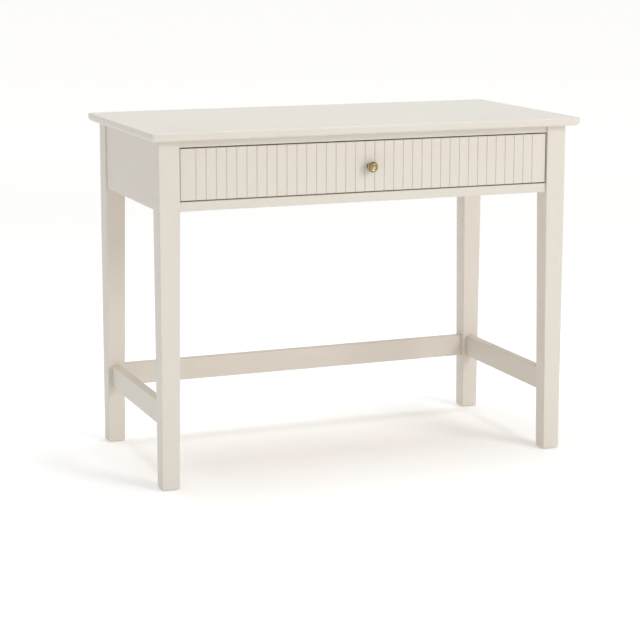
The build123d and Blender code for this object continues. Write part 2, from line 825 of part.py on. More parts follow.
def bottom_screws():
    """Screws up into the drawer's back: the middle two go through the brace as well."""
    spots = []
    for x in bottom_screw_x:
        z = box_bottom if abs(x) < brace_width / 2 else board_z
        spots.append(facing((x, box_back_centre, z), upward))
    return spots


back_height = box_top - board_z - bottom_thickness
with BuildPart() as drawer_back:
    with Locations((0, box_back_centre, box_top - back_height / 2)):
        Box(2 * box_inner, box_board, back_height)
    fillet(drawer_back.edges().filter_by(Axis.X).group_by(Axis.Z)[-1], rail_edge_round)
    for name, side in sides:
        bore(back_pegs(side), drawer_peg_hole_radius, drawer_peg_hole_length)
    screw_holes(bottom_screws(), bottom_screw_length)
save(drawer_back, "drawer_back")

bottom_edge_gap = 0.5
bottom_front_y = front_back_y - bottom_groove_depth + bottom_edge_gap
with BuildPart() as drawer_bottom:
    with Locations((0, (bottom_front_y + box_back_y) / 2, board_z + bottom_thickness / 2)):
        Box(
            2 * (box_inner + bottom_groove_depth - bottom_edge_gap),
            box_back_y - bottom_front_y,
            bottom_thickness,
        )
    screw_holes(bottom_screws(), bottom_screw_length)
save(drawer_bottom, "drawer_bottom")

with BuildPart() as drawer_bottom_brace:
    with Locations((0, (front_back_y + box_back_y) / 2, (box_bottom + board_z) / 2)):
        Box(brace_width, box_length, board_z - box_bottom)
    screw_holes(bottom_screws(), bottom_screw_length)
save(drawer_bottom_brace, "drawer_bottom_brace")

drawer_bottom_screws = screws_part(bottom_screws(), bottom_screw_length)
save(drawer_bottom_screws, "drawer_bottom_screws")
slide_inner_screw_group = screws_part(
    slide_inner_screws(-1) + slide_inner_screws(1), drawer_screw_length
)
save(slide_inner_screw_group, "slide_inner_screws")
drawer_peg_places = front_pegs(-1) + front_pegs(1) + back_pegs(-1) + back_pegs(1)
drawer_dowels = pegs_part(drawer_peg_places, drawer_dowel_radius, drawer_dowel_reach)
save(drawer_dowels, "drawer_dowels")
drawer_cam_bolts = bolts_part([front_bolt(-1), front_bolt(1)])
save(drawer_cam_bolts, "drawer_cam_bolts")

with BuildPart() as drawer_cam_locks:
    for name, side in sides:
        spot = (side * box_half, front_back_y + bolt_to_cam, drawer_cam_z)
        with Locations(Plane(spot, (0, -1, 0), (side, 0, 0))):
            add(cam_blank(box_board / 2, thin_cam_height))
save(drawer_cam_locks, "drawer_cam_locks")

# ---- Knob and its screw -------------------------------------------------------------------------
# The knob is turned: a foot and neck, then a ring, a smaller ring and a dome, each set back from
# the last. Distances are out from the drawer front's face.
foot_radius = 0.6 * knob_radius
neck_radius = 0.42 * knob_radius
second_radius = 0.76 * knob_radius
dome_radius = 0.42 * knob_radius
second_round = 0.3 * knob_radius
knob_plane = Plane(origin=(0, rail_face_y, front_z), x_dir=(1, 0, 0), z_dir=(0, 0, -1))
with BuildPart() as knob:
    with BuildSketch(knob_plane):
        with BuildLine():
            foot = Line((0, 0), (foot_radius, 0))
            rim = Line(foot @ 1, (foot_radius, 0.06 * knob_reach))
            neck = ThreePointArc(
                rim @ 1,
                (neck_radius, 0.2 * knob_reach),
                (0.75 * knob_radius, 0.36 * knob_reach),
            )
            ring = ThreePointArc(
                neck @ 1,
                (knob_radius, 0.54 * knob_reach),
                (second_radius + 0.8, 0.72 * knob_reach),
            )
            step = Line(ring @ 1, (second_radius, 0.72 * knob_reach))
            side_line = Line(step @ 1, (second_radius, 0.9 * knob_reach - second_round))
            corner_centre = (second_radius - second_round, 0.9 * knob_reach - second_round)
            second = CenterArc(corner_centre, second_round, 0, 90)
            last_step = Line(second @ 1, (dome_radius, 0.9 * knob_reach))
            cap_height = 0.1 * knob_reach
            cap_radius = (dome_radius**2 + cap_height**2) / (2 * cap_height)
            cap_angle = degrees(asin(dome_radius / cap_radius))
            dome = CenterArc((0, knob_reach - cap_radius), cap_radius, 90 - cap_angle, cap_angle)
            Line(dome @ 1, foot @ 0)
        make_face()
    revolve(axis=Axis((0, rail_face_y, front_z), (0, -1, 0)))
    bore(
        [facing((0, rail_face_y, front_z), along_y)],
        knob_screw_radius + hole_clearance,
        2 * (knob_screw_bite + hole_bottom_gap),
    )
save(knob, "knob")

with BuildPart() as knob_screw:
    with Locations(facing((0, front_back_y, front_z), (0, -1, 0))):
        Cylinder(
            knob_screw_radius,
            front_thickness + knob_screw_bite,
            align=(Align.CENTER, Align.CENTER, Align.MIN),
        )
    with Locations(facing((0, front_back_y, front_z), along_y)):
        Cylinder(4.0, 2.6, align=(Align.CENTER, Align.CENTER, Align.MIN))
    fillet(knob_screw.faces().sort_by(Axis.Y)[-1].edges(), 1.0)
    with Locations((0, front_back_y + 2.6, front_z)):
        Box(4.0, 3.0, 0.9, mode=Mode.SUBTRACT)
        Box(0.9, 3.0, 4.0, mode=Mode.SUBTRACT)
save(knob_screw, "knob_screw")
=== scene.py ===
# %% [markdown]
# # A painted writing desk
# The desk is a cream painted frame of solid wood on four tapered legs, with one wide drawer whose
# front is cut with fine upright V-grooves. Its shape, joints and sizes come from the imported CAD
# model, which is loaded first and stays where it is. This script adds the finishes, and remakes
# the few pieces whose soft edges a CAD mesh shows only as flats.

import math

import bmesh
import bpy
import numpy as np
from mathutils import Matrix, Vector


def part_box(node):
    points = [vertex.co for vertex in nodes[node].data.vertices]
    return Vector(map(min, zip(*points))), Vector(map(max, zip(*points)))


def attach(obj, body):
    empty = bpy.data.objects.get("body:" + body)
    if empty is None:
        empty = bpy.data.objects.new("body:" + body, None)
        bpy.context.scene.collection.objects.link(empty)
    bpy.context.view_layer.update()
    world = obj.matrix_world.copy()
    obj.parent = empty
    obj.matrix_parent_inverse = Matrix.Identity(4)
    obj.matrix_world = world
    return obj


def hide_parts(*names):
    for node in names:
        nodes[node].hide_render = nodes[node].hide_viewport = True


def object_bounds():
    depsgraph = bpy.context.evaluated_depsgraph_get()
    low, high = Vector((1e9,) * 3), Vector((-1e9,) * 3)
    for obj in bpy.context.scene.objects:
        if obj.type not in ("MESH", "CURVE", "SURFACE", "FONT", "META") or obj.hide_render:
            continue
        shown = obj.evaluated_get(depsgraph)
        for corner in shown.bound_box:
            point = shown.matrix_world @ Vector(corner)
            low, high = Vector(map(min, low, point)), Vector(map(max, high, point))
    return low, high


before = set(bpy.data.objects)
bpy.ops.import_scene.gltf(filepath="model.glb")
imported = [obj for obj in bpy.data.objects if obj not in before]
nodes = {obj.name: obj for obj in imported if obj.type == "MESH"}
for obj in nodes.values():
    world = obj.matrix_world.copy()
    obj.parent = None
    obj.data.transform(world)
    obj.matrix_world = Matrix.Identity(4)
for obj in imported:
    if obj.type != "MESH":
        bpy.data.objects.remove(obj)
cad_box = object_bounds()

# %% [markdown]
# ## Arithmetic on sockets
# A finish is a formula: grain plus dust times wear. Written as nodes it is hard to read, so a
# small class wraps a socket and turns +, - and * into Math nodes. Colours and vectors need Mix
# and Vector Math nodes instead, because a Math node would turn them grey.


# %% A socket that can be added and multiplied
class Value:
    """A number or colour that comes out of a node. Arithmetic on it adds Math nodes."""

    def __init__(self, builder, socket):
        self.builder = builder
        self.socket = socket

    def _math(self, operation, first, second):
        return self.builder.node("ShaderNodeMath", {0: first, 1: second}, operation=operation)

    def __add__(self, other):
        return self._math("ADD", self, other)

    def __sub__(self, other):
        return self._math("SUBTRACT", self, other)

    def __rsub__(self, other):
        return self._math("SUBTRACT", other, self)

    def __mul__(self, other):
        return self._math("MULTIPLY", self, other)

    __radd__ = __add__
    __rmul__ = __mul__


# %% [markdown]
# ## Building a tree of nodes
# Every node is made by one method, so that a finish reads as a list of what is mixed with what.
# Mixing two colours and easing from one number to another are needed so often that they get
# methods of their own.


# %% A tree of nodes
class Nodes:
    """A node tree being built. place is its coordinate: Object on a piece, Generated in the sky."""

    def __init__(self, tree, coordinate):
        self.tree = tree
        self.place = self.node("ShaderNodeTexCoord", {}, output=coordinate)

    def node(self, kind, inputs, output=0, **settings):
        """Add a node: its settings first, then the values or links of its sockets."""
        made = self.tree.nodes.new(kind)
        for name, value in settings.items():
            setattr(made, name, value)
        for name, value in inputs.items():
            self.feed(made.inputs[name], value)
        return Value(self, made.outputs[output])

    def feed(self, socket, value):
        """Link a Value to a socket, or set a plain number or colour on it."""
        if isinstance(value, Value):
            self.tree.links.new(value.socket, socket)
        else:
            socket.default_value = value

    def blend(self, amount, first, second):
        """Mix two colours: the first times 1 - amount, plus the second times amount."""
        inputs = {0: amount, 6: first, 7: second}
        return self.node(
            "ShaderNodeMix", inputs, output=2, data_type="RGBA", blend_type="MIX", clamp_factor=True
        )

    def smooth(self, value, low, high):
        """0 below low, 1 above high, eased between: 3 t squared - 2 t cubed."""
        inputs = {"Value": value, "From Min": low, "From Max": high}
        return self.node("ShaderNodeMapRange", inputs, interpolation_type="SMOOTHSTEP")


# %% [markdown]
# ## A finish
# A finish is a material on Object coordinates, so its pattern has a real size in metres and stays
# on the piece when the drawer moves. What varies over the surface goes into the shader by a link,
# and what is the same all over is set on the shader's own socket.


# %% A material with noise, relief and a shader
class Finish(Nodes):
    """A material being built round one Principled shader."""

    def __init__(self, name):
        self.material = bpy.data.materials.new(name)
        self.material.use_nodes = True
        super().__init__(self.material.node_tree, "Object")
        self.shader = self.tree.nodes["Principled BSDF"]

    def noise(self, scale, detail=2.0, roughness=0.5, stretch=(1, 1, 1), shift=(0, 0, 0)):
        """Even noise from 0 to 1 in object space, stretched along an axis by a small number."""
        place = self.node(
            "ShaderNodeMapping", {"Vector": self.place, "Scale": stretch, "Location": shift}
        )
        inputs = {"Vector": place, "Scale": scale, "Detail": detail, "Roughness": roughness}
        return self.node("ShaderNodeTexNoise", inputs, output="Fac")

    def bump(self, height, distance, strength, under=None):
        """A bump of the given depth in metres, over another bump if one is given."""
        inputs = {"Height": height, "Distance": distance, "Strength": strength}
        if under is not None:
            inputs["Normal"] = under
        return self.node("ShaderNodeBump", inputs)

    def surface(self, links, **constants):
        """Feed what varies into the shader, and set what doesn't on its own sockets."""
        for name, value in {**links, **constants}.items():
            self.feed(self.shader.inputs[name.replace("_", " ")], value)
        return self.material


# %% [markdown]
# ## Colours as they are seen
# A paint chart gives colours from 0 to 255 as a screen shows them. A shader works in amounts of
# light, so each channel goes through the screen's own curve first.


# %% Seen colour to light
def shade(red, green, blue):
    """A colour from 0 to 255 as light: channel / 12.92 near black, and above that
    ((channel + 0.055) / 1.055) to the power 2.4, with the channel as a share of 255."""
    seen = np.array([red, green, blue]) / 255
    linear = np.where(seen <= 0.04045, seen / 12.92, ((seen + 0.055) / 1.055) ** 2.4)
    return (*linear.tolist(), 1.0)


# %% [markdown]
# ## Cream paint
# The desk is sprayed with a satin cream paint over primed wood. Up close it isn't one colour:
# the coat is a touch thicker here and thinner there, the sprayed film has a fine orange peel, and
# the long grain of the wood underneath telegraphs through as faint soft ridges. Each board has
# its grain along its own length, so the finish takes the direction of the grain.

# %% Painted wood
thin_coat = shade(213, 207, 198)
thick_coat = shade(217, 211, 203)
warm_patch = shade(212, 203, 190)
grain_line = shade(198, 188, 175)
grain_depth = 0.00022
peel_depth = 0.00006


def painted_wood(name, along):
    """Satin cream paint. along stretches the grain: a small number in the board's long axis."""
    paint = Finish(name)
    coat = paint.noise(5.5, detail=3.0, shift=(0.3, 0.7, 0.1))
    cloud = paint.noise(38.0, detail=4.0, roughness=0.6, shift=(4, 2, 7))
    grain = paint.noise(210.0, detail=4.0, roughness=0.65, stretch=along)
    peel = paint.noise(1100.0, detail=1.5)
    tint = paint.blend(coat, thin_coat, thick_coat)
    tint = paint.blend(cloud * 0.35, tint, warm_patch)
    tint = paint.blend(paint.smooth(grain, 0.55, 0.8) * 0.10, tint, grain_line)
    relief = paint.bump(grain, grain_depth, 0.6)
    relief = paint.bump(peel, peel_depth, 0.5, under=relief)
    sheen = 0.36 + cloud * 0.16 + paint.smooth(grain, 0.5, 0.9) * 0.06
    return paint.surface(
        {"Base Color": tint, "Roughness": sheen, "Normal": relief},
        Specular_IOR_Level=0.42,
        Coat_Weight=0.0,
    )


grain_stretch = 0.05
long_x = painted_wood("cream_paint_along_x", (grain_stretch, 1, 1))
long_y = painted_wood("cream_paint_along_y", (1, grain_stretch, 1))
long_z = painted_wood("cream_paint_along_z", (1, 1, grain_stretch))
print("paints", long_x.name, long_y.name, long_z.name)

# %% [markdown]
# ## Bare wood inside
# The drawer box and the runners are pale plantation pine, oiled by nothing but handling. Growth
# rings are shells round the log, so a board cut from it shows them as bands that wander. The
# bands are made from the place along one axis, bent by noise and folded by a sine.

# %% Bare wood and plywood
fibre_brown = shade(176, 136, 88)
pore_brown = shade(140, 100, 60)
ring_bend = 0.09
wood_relief = 0.0002


def bare_wood(name, along, rings, pale, dark, axis):
    """Pale sawn wood: sine of (place on the axis + bent by noise) times rings, with fibres, pores
    and a dry sheen. axis is 0, 1 or 2, and rings is how fast the bands follow each other."""
    wood = Finish(name)
    bend = wood.noise(3.2, detail=3.0, stretch=along)
    level = wood.node("ShaderNodeSeparateXYZ", {0: wood.place}, output=axis)
    wave = wood.node("ShaderNodeMath", {0: (level + bend * ring_bend) * rings}, operation="SINE")
    ring = wood.smooth(wave, -0.9, 1.0)
    fibre = wood.noise(420.0, detail=5.0, roughness=0.7, stretch=along)
    pores = wood.smooth(wood.noise(900.0, detail=2.0, stretch=along), 0.62, 0.75)
    tint = wood.blend(ring * 0.75, pale, dark)
    tint = wood.blend(fibre * 0.35, tint, fibre_brown)
    tint = wood.blend(pores * 0.3, tint, pore_brown)
    relief = wood.bump(fibre * 0.7 - pores * 0.5, wood_relief, 0.6)
    return wood.surface(
        {"Base Color": tint, "Roughness": 0.55 + fibre * 0.2, "Normal": relief},
        Specular_IOR_Level=0.3,
    )


# %% The woods of the drawer
along_x, along_y, short_pegs = (0.04, 1, 1), (1, 0.04, 1), (1, 0.3, 1)
pine_colours = shade(226, 198, 156), shade(203, 165, 116)
birch_colours = shade(229, 207, 170), shade(214, 184, 141)
beech_colours = shade(219, 183, 138), shade(196, 154, 106)
pine = bare_wood("pale_pine", along_y, 190.0, *pine_colours, 2)
pine_across = bare_wood("pale_pine_across", along_x, 190.0, *pine_colours, 2)
birch = bare_wood("birch_ply", along_x, 60.0, *birch_colours, 1)
peg_wood = bare_wood("beech_pegs", short_pegs, 400.0, *beech_colours, 2)
print("woods", pine.name, pine_across.name, birch.name, peg_wood.name)

# %% [markdown]
# ## Plated steel
# The slides, brackets and screws are zinc plated: a cool grey with small cloudy spangles, and the
# fine lines of the rolling mill along their length. The cams are cast zinc, duller and grainy, so
# they take the same formula with darker colours and more roughness.

# %% Zinc and steel
drawn_depth = 0.00003


def plated_steel(name, light, dark, base_roughness):
    """Zinc plated steel: spangled cloud, fine drawn lines along Y, a little dulled."""
    steel = Finish(name)
    spangle = steel.node(
        "ShaderNodeTexVoronoi", {"Vector": steel.place, "Scale": 260.0}, output="Color"
    )
    spread = steel.node("ShaderNodeSeparateColor", {0: spangle})
    drawn = steel.noise(1500.0, detail=3.0, stretch=(1, 0.02, 1))
    film = steel.noise(60.0, detail=4.0)
    tint = steel.blend(spread * 0.5 + film * 0.4, light, dark)
    relief = steel.bump(drawn, drawn_depth, 0.5)
    sheen = base_roughness + film * 0.14 + drawn * 0.06
    return steel.surface(
        {"Base Color": tint, "Roughness": sheen, "Normal": relief}, Metallic=1.0
    )


slide_steel = plated_steel("slide_zinc", shade(206, 208, 210), shade(166, 170, 174), 0.26)
screw_steel = plated_steel("screw_zinc", shade(198, 197, 190), shade(150, 149, 142), 0.30)
cam_metal = plated_steel("cast_zinc", shade(164, 165, 167), shade(120, 121, 124), 0.42)
print("metals", slide_steel.name, screw_steel.name, cam_metal.name)

# %% [markdown]
# ## Moulded plastic
# The cover caps and the floor glides are moulded. A mould for such parts is spark eroded, which
# leaves a fine matt texture, and the colour mottles a little where the plastic flowed.

# %% Caps and glides
spark_depth = 0.00004


def moulded_plastic(name, colour, darker):
    """Moulded plastic with a fine spark texture and slight mottling."""
    plastic = Finish(name)
    spark = plastic.noise(2200.0, detail=2.0)
    mottle = plastic.noise(90.0, detail=3.0)
    tint = plastic.blend(mottle, colour, darker)
    relief = plastic.bump(spark, spark_depth, 0.6)
    return plastic.surface(
        {"Base Color": tint, "Roughness": 0.45 + spark * 0.12, "Normal": relief},
        Specular_IOR_Level=0.45,
    )


cap_plastic = moulded_plastic("cream_cap", shade(226, 217, 206), shade(219, 209, 196))
glide_plastic = moulded_plastic("glide_plastic", shade(204, 200, 192), shade(186, 181, 172))
print("plastics", cap_plastic.name, glide_plastic.name)

# %% [markdown]
# ## Antique brass
# The knob is turned brass that was darkened and then rubbed back: bright in patches where fingers
# reach, and brown with old wax in its cut grooves. Under its head the same brown is painted shade.
# The patches are noise. The grooves and the underside of the head can't be found by noise, so the
# knob's mesh carries a number, hollow, that this finish reads.

# %% Brass of the knob
dull_brass = shade(160, 137, 95)
rubbed_brass = shade(206, 188, 150)
# Brown of old wax in the grooves, and of painted shade under the knob's head.
wax_and_shade_brown = shade(72, 57, 34)
patina_depth = 0.00004


def antique_brass(name):
    """Brass that is rubbed bright in patches and dark where its mesh says that it is hollow: old
    wax in the grooves, painted shade under the head.
    """
    metal = Finish(name)
    patina = metal.noise(320.0, detail=5.0, roughness=0.65)
    blotch = metal.noise(95.0, detail=3.0, shift=(2, 5, 1))
    worn = metal.smooth(patina * 0.5 + blotch * 0.5, 0.38, 0.62)
    sunk = metal.node(
        "ShaderNodeAttribute", {}, output="Fac", attribute_name="hollow", attribute_type="GEOMETRY"
    )
    tint = metal.blend(worn, dull_brass, rubbed_brass)
    # Darken to that brown where the mesh says hollow: real wax in the grooves, painted shade under
    # the head.
    tint = metal.blend(sunk, tint, wax_and_shade_brown)
    relief = metal.bump(patina, patina_depth, 0.6)
    sheen = 0.30 - worn * 0.08 + sunk * 0.25
    return metal.surface(
        {"Base Color": tint, "Roughness": sheen, "Normal": relief}, Metallic=1.0
    )


brass = antique_brass("antique_brass")
print("knob metal", brass.name)

# %% [markdown]
# ## Which node has which finish
# The grain of a painted board follows its length: along X for the wide boards, along Y for the
# ones that run back, along Z for the legs. The drawer front is cut into upright strips, so its
# grain is upright too. The drawer's back runs across and its sides run back.

# %% Give every CAD node its finish
finish_of = {
    long_x: ["desktop", "back_rail", "front_top_rail", "front_bottom_rail", "back_stretcher"],
    long_y: ["side_rail_left", "side_rail_right", "side_stretcher_left", "side_stretcher_right"],
    long_z: [
        "leg_front_left",
        "leg_front_right",
        "leg_rear_left",
        "leg_rear_right",
        "drawer_front",
    ],
    pine: [
        "runner_rail_left",
        "runner_rail_right",
        "drawer_side_left",
        "drawer_side_right",
        "drawer_bottom_brace",
    ],
    pine_across: ["drawer_back"],
    birch: ["drawer_bottom"],
    peg_wood: ["rail_dowels", "stretcher_dowels", "drawer_dowels"],
    screw_steel: [
        "bracket_screws",
        "desktop_screws",
        "runner_screws",
        "slide_outer_screws",
        "slide_inner_screws",
        "drawer_bottom_screws",
        "knob_screw",
        "cam_bolts",
        "drawer_cam_bolts",
    ],
    cam_metal: ["cam_locks", "drawer_cam_locks"],
    cap_plastic: ["cam_cover_caps"],
    glide_plastic: ["floor_glides"],
    brass: ["knob"],
}
sides = ("left", "right")
channels = [f"slide_{kind}_{side}" for kind in ("outer", "middle", "inner") for side in sides]
cages = [f"ball_cage_{kind}_{side}" for kind in ("outer", "inner") for side in sides]
finish_of[slide_steel] = channels + cages + ["desktop_brackets"]

for material, names in finish_of.items():
    for name in names:
        slots = nodes[name].data.materials
        slots.clear()
        slots.append(material)
print("finished", sum(len(names) for names in finish_of.values()), "of", len(nodes), "nodes")

# %% [markdown]
# ## Skins from rings
# The CAD meshes are right in size, but a mesh made for machining shows its rounds as a few flats.
# The pieces that the eye rests on are made again as skins: rings of points, worked out as whole
# arrays, each ring joined to the next and the first and last closed by a face. One helper turns
# such an array into a piece that rides on its body.

# %% Rings into a piece
crease_angle = math.radians(50)


def turn_outwards(mesh):
    """Make every face of a closed mesh point out of it."""
    work = bmesh.new()
    work.from_mesh(mesh)
    bmesh.ops.recalc_face_normals(work, faces=work.faces)
    work.to_mesh(mesh)
    work.free()


def skin(name, rings, material, body, slot, *stands_for):
    """A closed skin. rings is an array (ring, point round it, xyz), in metres. Each face takes two
    neighbours of one ring and the two beside them on the next, and wraps round at the end."""
    count, around = rings.shape[:2]
    index = np.arange(count * around).reshape(count, around)
    low, high = index[:-1], index[1:]
    quads = np.stack([low, np.roll(low, -1, 1), np.roll(high, -1, 1), high], -1)
    faces = quads.reshape(-1, 4).tolist() + [index[0, ::-1].tolist(), index[-1].tolist()]
    mesh = bpy.data.meshes.new(name)
    mesh.from_pydata(rings.reshape(-1, 3).tolist(), [], faces)
    turn_outwards(mesh)
    mesh.polygons.foreach_set("use_smooth", np.ones(len(mesh.polygons), bool))
    mesh.set_sharp_from_angle(angle=crease_angle)
    mesh.materials.append(material)
    piece = bpy.data.objects.new(name, mesh)
    bpy.context.scene.collection.objects.link(piece)
    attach(piece, body)
    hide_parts(*stands_for)
    print(name, "points", count * around, "faces", len(faces))
    return piece


# %% [markdown]
# ## The desktop
# A board with softened corners in plan, a small round on its upper arris, which catches the light
# as a bright line, and a much larger one below, which makes the board look thin. Each ring is the
# plan outline moved inwards, at the height that the edge's profile has there, so the corners stay
# true at every level.


# %% Plan of the desktop
def quarter(start, steps):
    """Directions (cos, sin) along a quarter turn that starts at an angle given in quarter turns."""
    angle = (start + np.linspace(0, 1, steps)) * math.pi / 2
    return np.cos(angle), np.sin(angle)


arc_steps = 9


def outline(low, high, radius, inset):
    """A rounded rectangle moved inwards: each corner is a quarter circle about its own centre,
    whose radius shrinks by the inset while the centre stays. Returns an array (ring, point, xy)."""
    signs = [(1, 1), (-1, 1), (-1, -1), (1, -1)]
    middle, half = (low + high) / 2, (high - low) / 2 - radius
    corners = []
    for start, sign in enumerate(signs):
        directions = np.stack(quarter(start, arc_steps), -1)
        centre = middle + half * np.array(sign)
        corners.append(centre + (radius - inset)[:, None, None] * directions)
    return np.concatenate(corners, axis=1)


# %% [markdown]
# The edge's profile goes from the top face over the small round, down, round the large one and in
# under the board. flat_margin is where the flat top and bottom faces get one more ring, so that
# the shading of the rounds doesn't run out over them.

# %% Desktop board
top_corner = 0.012
top_upper_round = 0.003
top_lower_round = 0.009
flat_margin = 0.0105
top_low, top_high = (np.array(corner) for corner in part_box("desktop"))
across, up = quarter(1, arc_steps)
upper_inset = top_upper_round * (1 + across)
upper_height = top_high[2] - top_upper_round * (1 - up)
lower_inset = top_lower_round * (1 + across)[::-1]
lower_height = top_low[2] + top_lower_round * (1 - up)[::-1]
inset = np.concatenate([[flat_margin], upper_inset, lower_inset, [flat_margin]])
height = np.concatenate([[top_high[2]], upper_height, lower_height, [top_low[2]]])
plan = outline(top_low[:2], top_high[:2], top_corner, inset)
level = np.broadcast_to(height[:, None, None], (*plan.shape[:2], 1))
skin(
    "desktop_board", np.concatenate([plan, level], -1), long_x, "frame", "painted_wood", "desktop"
)

# %% [markdown]
# ## The grooved drawer front
# A tongue-and-groove look cut into one board: upright V-grooves at an even pitch, with two wider
# strips at the ends. The board's cross-section, a rectangle with eased corners, is carried along
# the width, and its front sinks by the groove's depth where a groove passes. Stations are close
# together in the grooves and far apart between them.

# %% Grooves
groove_pitch = 0.0225
groove_width = 0.003
groove_deepest = 0.0016
groove_count = 36
last_groove = (groove_count - 1) / 2


def groove_depth(x):
    """How deep the cutter went at x: nearest groove's middle is deepest, and the wall rises as a
    raised cosine to the groove's edge, which leaves the soft lip that thick paint gives."""
    nearest = np.clip(np.round(x / groove_pitch - 0.5) + 0.5, -last_groove, last_groove)
    part = np.abs(x - nearest * groove_pitch) / (groove_width / 2)
    return groove_deepest * np.where(part < 1, (1 + np.cos(math.pi * part)) / 2, 0)


print("grooves", groove_count, "over", round((groove_count - 1) * groove_pitch * 1000, 1), "mm")

# %% [markdown]
# Each groove has stations across its width and one just outside each lip, which keeps the strip
# beside it flat in the shading. At the two ends the front eases back by a quarter circle.

# %% Stations along the width
front_ease = 0.0012
stations_in_groove = 13
past_lip = 0.65
end_steps = 7
front_low, front_high = (np.array(corner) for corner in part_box("drawer_front"))
groove_middles = (np.arange(groove_count) - last_groove) * groove_pitch
over_groove = np.linspace(-0.5, 0.5, stations_in_groove)
in_groove = np.concatenate([[-past_lip], over_groove, [past_lip]]) * groove_width
stations = (groove_middles[:, None] + in_groove).ravel()
end_turn = front_ease * np.sin(np.linspace(0, 1, end_steps) * math.pi / 2)
right_end = front_high[0] - front_ease + end_turn
x = np.concatenate([-right_end[::-1], stations, right_end])
past_end = np.clip(np.abs(x) - (front_high[0] - front_ease), 0, front_ease) / front_ease
sunk = groove_depth(x) + front_ease * (1 - np.sqrt(1 - past_end**2))
print("stations", len(x), "deepest", round(float(sunk.max()) * 1000, 2), "mm")

# %% [markdown]
# The section at each station is one loop in y and z: up the front, back over the top, down the
# back and forward again. Only its front half moves with the groove.

# %% Carry the section along the width
back_ease = 0.0005
ease_steps = 5
turn_cos, turn_sin = quarter(0, ease_steps)
front_section_y = front_ease * (1 - np.concatenate([turn_sin, turn_cos]))
front_section_z = np.concatenate([
    front_low[2] + front_ease * (1 - turn_cos),
    front_high[2] - front_ease * (1 - turn_sin),
])
back_section_y = front_high[1] - back_ease * (1 - np.concatenate([turn_sin, turn_cos]))
back_section_z = np.concatenate([
    front_high[2] - back_ease * (1 - turn_cos),
    front_low[2] + back_ease * (1 - turn_sin),
])
moving_y = front_low[1] + sunk[:, None] + front_section_y
still_y = np.broadcast_to(back_section_y, (len(x), len(back_section_y)))
loop_y = np.concatenate([moving_y, still_y], axis=1)
loop_z = np.broadcast_to(np.concatenate([front_section_z, back_section_z]), loop_y.shape)
loop_x = np.broadcast_to(x[:, None], loop_y.shape)
skin(
    "drawer_front_grooved",
    np.stack([loop_x, loop_y, loop_z], -1),
    long_z,
    "drawer",
    "painted_wood",
    "drawer_front",
)

# %% [markdown]
# ## The turned knob
# The knob was made on a lathe: a foot, a waisted neck, a wide ring, a smaller ring and a domed
# button, parted by cut grooves. So it is a profile of radius against reach, turned about the
# knob's own axis. Both are shares of the knob's size: reach 0 is its foot on the drawer and 1 its
# tip, and radius 1 is its widest ring.


# %% Knob profile
def stretch(start, end, bulge, steps=12):
    """A stretch of profile from one (reach, radius) to another, bowed sideways by a sine, so that
    its middle stands out by the bulge, or in if that is negative."""
    part = np.linspace(0, 1, steps)[:, None]
    start, end = np.array(start), np.array(end)
    run = (end - start) / np.linalg.norm(end - start)
    aside = np.array([-run[1], run[0]])
    return start + (end - start) * part + aside * bulge * np.sin(math.pi * part)


foot = stretch((0.00, 0.60), (0.06, 0.60), 0.01, 4)
neck = stretch((0.07, 0.57), (0.43, 0.76), -0.17)
wide_ring = stretch((0.44, 0.80), (0.83, 0.84), 0.18, 16)
ring_groove = stretch((0.84, 0.76), (0.85, 0.75), 0.0, 3)
small_ring = stretch((0.86, 0.77), (0.945, 0.46), 0.06, 14)
button_groove = stretch((0.945, 0.42), (0.95, 0.41), 0.0, 3)
button = stretch((0.955, 0.41), (0.995, 0.01), 0.03, 12)
profile = np.concatenate([foot, neck, wide_ring, ring_groove, small_ring, button_groove, button])
print("knob profile points", len(profile))

# %% Turn the profile
knob_low, knob_high = (np.array(corner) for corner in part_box("knob"))
knob_middle = (knob_low + knob_high) / 2
knob_radius = (knob_high[0] - knob_low[0]) / 2
knob_reach = knob_high[1] - knob_low[1]
turn_steps = 96
around = np.linspace(0, 2 * math.pi, turn_steps, endpoint=False)
radius = np.minimum(profile[:, 1], 1.0)[:, None] * knob_radius
reach = np.minimum(profile[:, 0], 1.0)[:, None] * knob_reach
knob_x = knob_middle[0] + radius * np.cos(around)
knob_z = knob_middle[2] + radius * np.sin(around)
knob_y = np.broadcast_to(knob_high[1] - reach, knob_x.shape)
knob = skin(
    "knob_turned", np.stack([knob_x, knob_y, knob_z], -1), brass, "drawer", "brass", "knob"
)
print("radius", round(knob_radius * 1000, 2), "mm, reach", round(knob_reach * 1000, 2), "mm")

# %% [markdown]
# ## Where old wax stays, and painted shade under the head
# Wax and tarnish stay in the two cut grooves, where a cloth doesn't reach. Under the head the brass
# is darkened in the same way, as painted shade. Each point of the profile gets a number for that,
# from 0 to 1, and every point turned from it carries the same one.


# %% Hollows of the knob
def near(place, width):
    """1 at a reach and fading to 0 away from it, as a bell curve."""
    return np.exp(-(((profile[:, 0] - place) / width) ** 2))


neck_end = 0.62
neck_fade = 0.25
# Painted shade under the head: darker towards the foot, below the wide ring.
painted_shade_under_head = np.clip((neck_end - profile[:, 0]) / neck_fade, 0, 1)
grooves = near(0.845, 0.018) + near(0.947, 0.007)
hollow = np.clip(grooves + painted_shade_under_head, 0, 1)
carried = knob.data.attributes.new("hollow", "FLOAT", "POINT")
carried.data.foreach_set("value", np.repeat(hollow, turn_steps).astype(np.float32))
print("hollow points", int((hollow > 0.5).sum()), "of", len(profile))

# %% [markdown]
# ## The floor
# The desk stands in a white studio whose floor and walls run into each other. A large pale plane
# does for the floor. A plane lit only by lamps darkens with distance, so it also glows a little,
# and more further out, which hides the line where it meets the surround.

